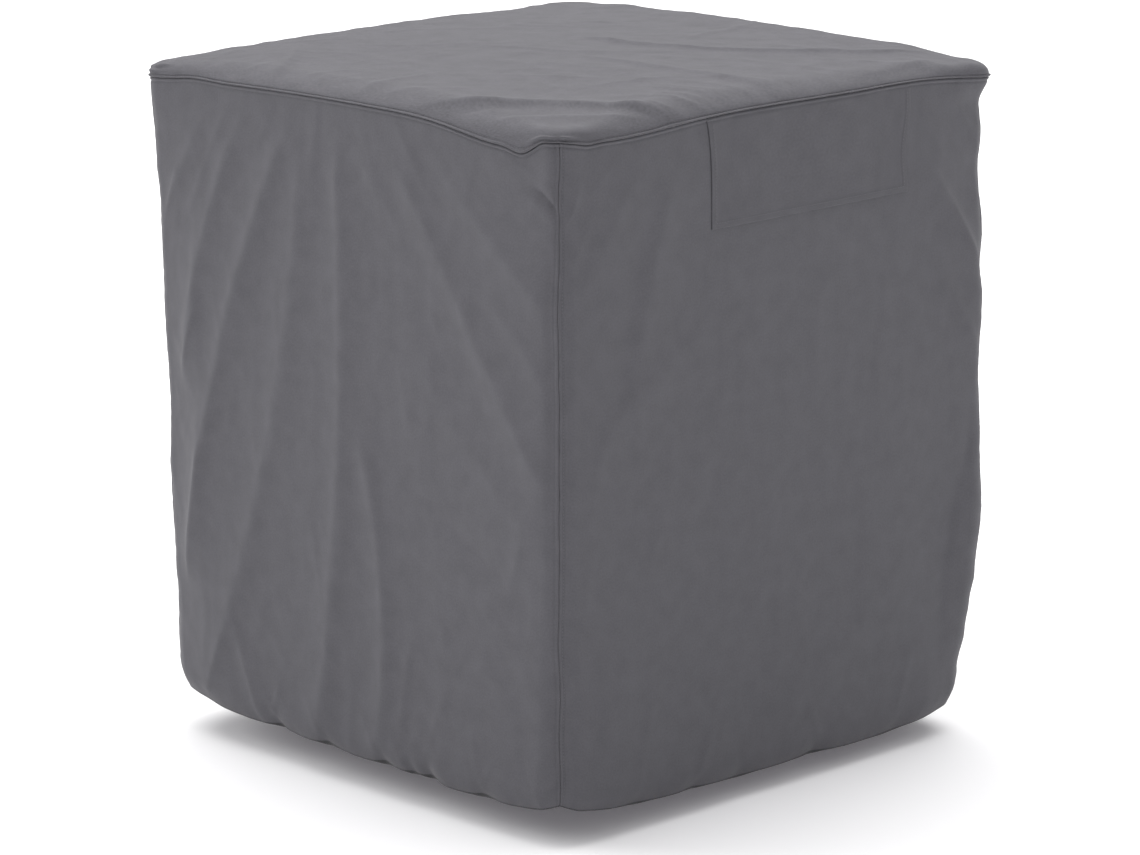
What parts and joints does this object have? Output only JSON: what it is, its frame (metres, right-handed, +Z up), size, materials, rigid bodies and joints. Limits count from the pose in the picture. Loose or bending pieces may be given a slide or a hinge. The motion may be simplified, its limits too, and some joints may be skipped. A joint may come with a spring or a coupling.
{
  "type": "air conditioner cover",
  "caption": "Square fitted cloth cover for an outdoor air conditioner, with a low domed top, soft folded sides, a sewn vent flap and a gathered open hem.",
  "frame": {"origin": "underside of the top panel at its middle, where the unit carries the cover", "axes": "+Z up; -Y towards the plain side at the left of the picture, +X towards the side with the vent flap"},
  "size_m": [0.7286, 0.7301, 0.8103],
  "materials": {
    "cloth_top": "matte woven polyester, dark grey",
    "cloth_side": "matte woven polyester, dark grey",
    "cloth_flap": "matte woven polyester, dark grey"
  },
  "bodies": {
    "root": {"panel_top": "cloth_top", "panel_front": "cloth_side", "panel_right": "cloth_side", "panel_back": "cloth_side", "panel_left": "cloth_side", "vent_flap": "cloth_flap"}
  },
  "joints": []
}
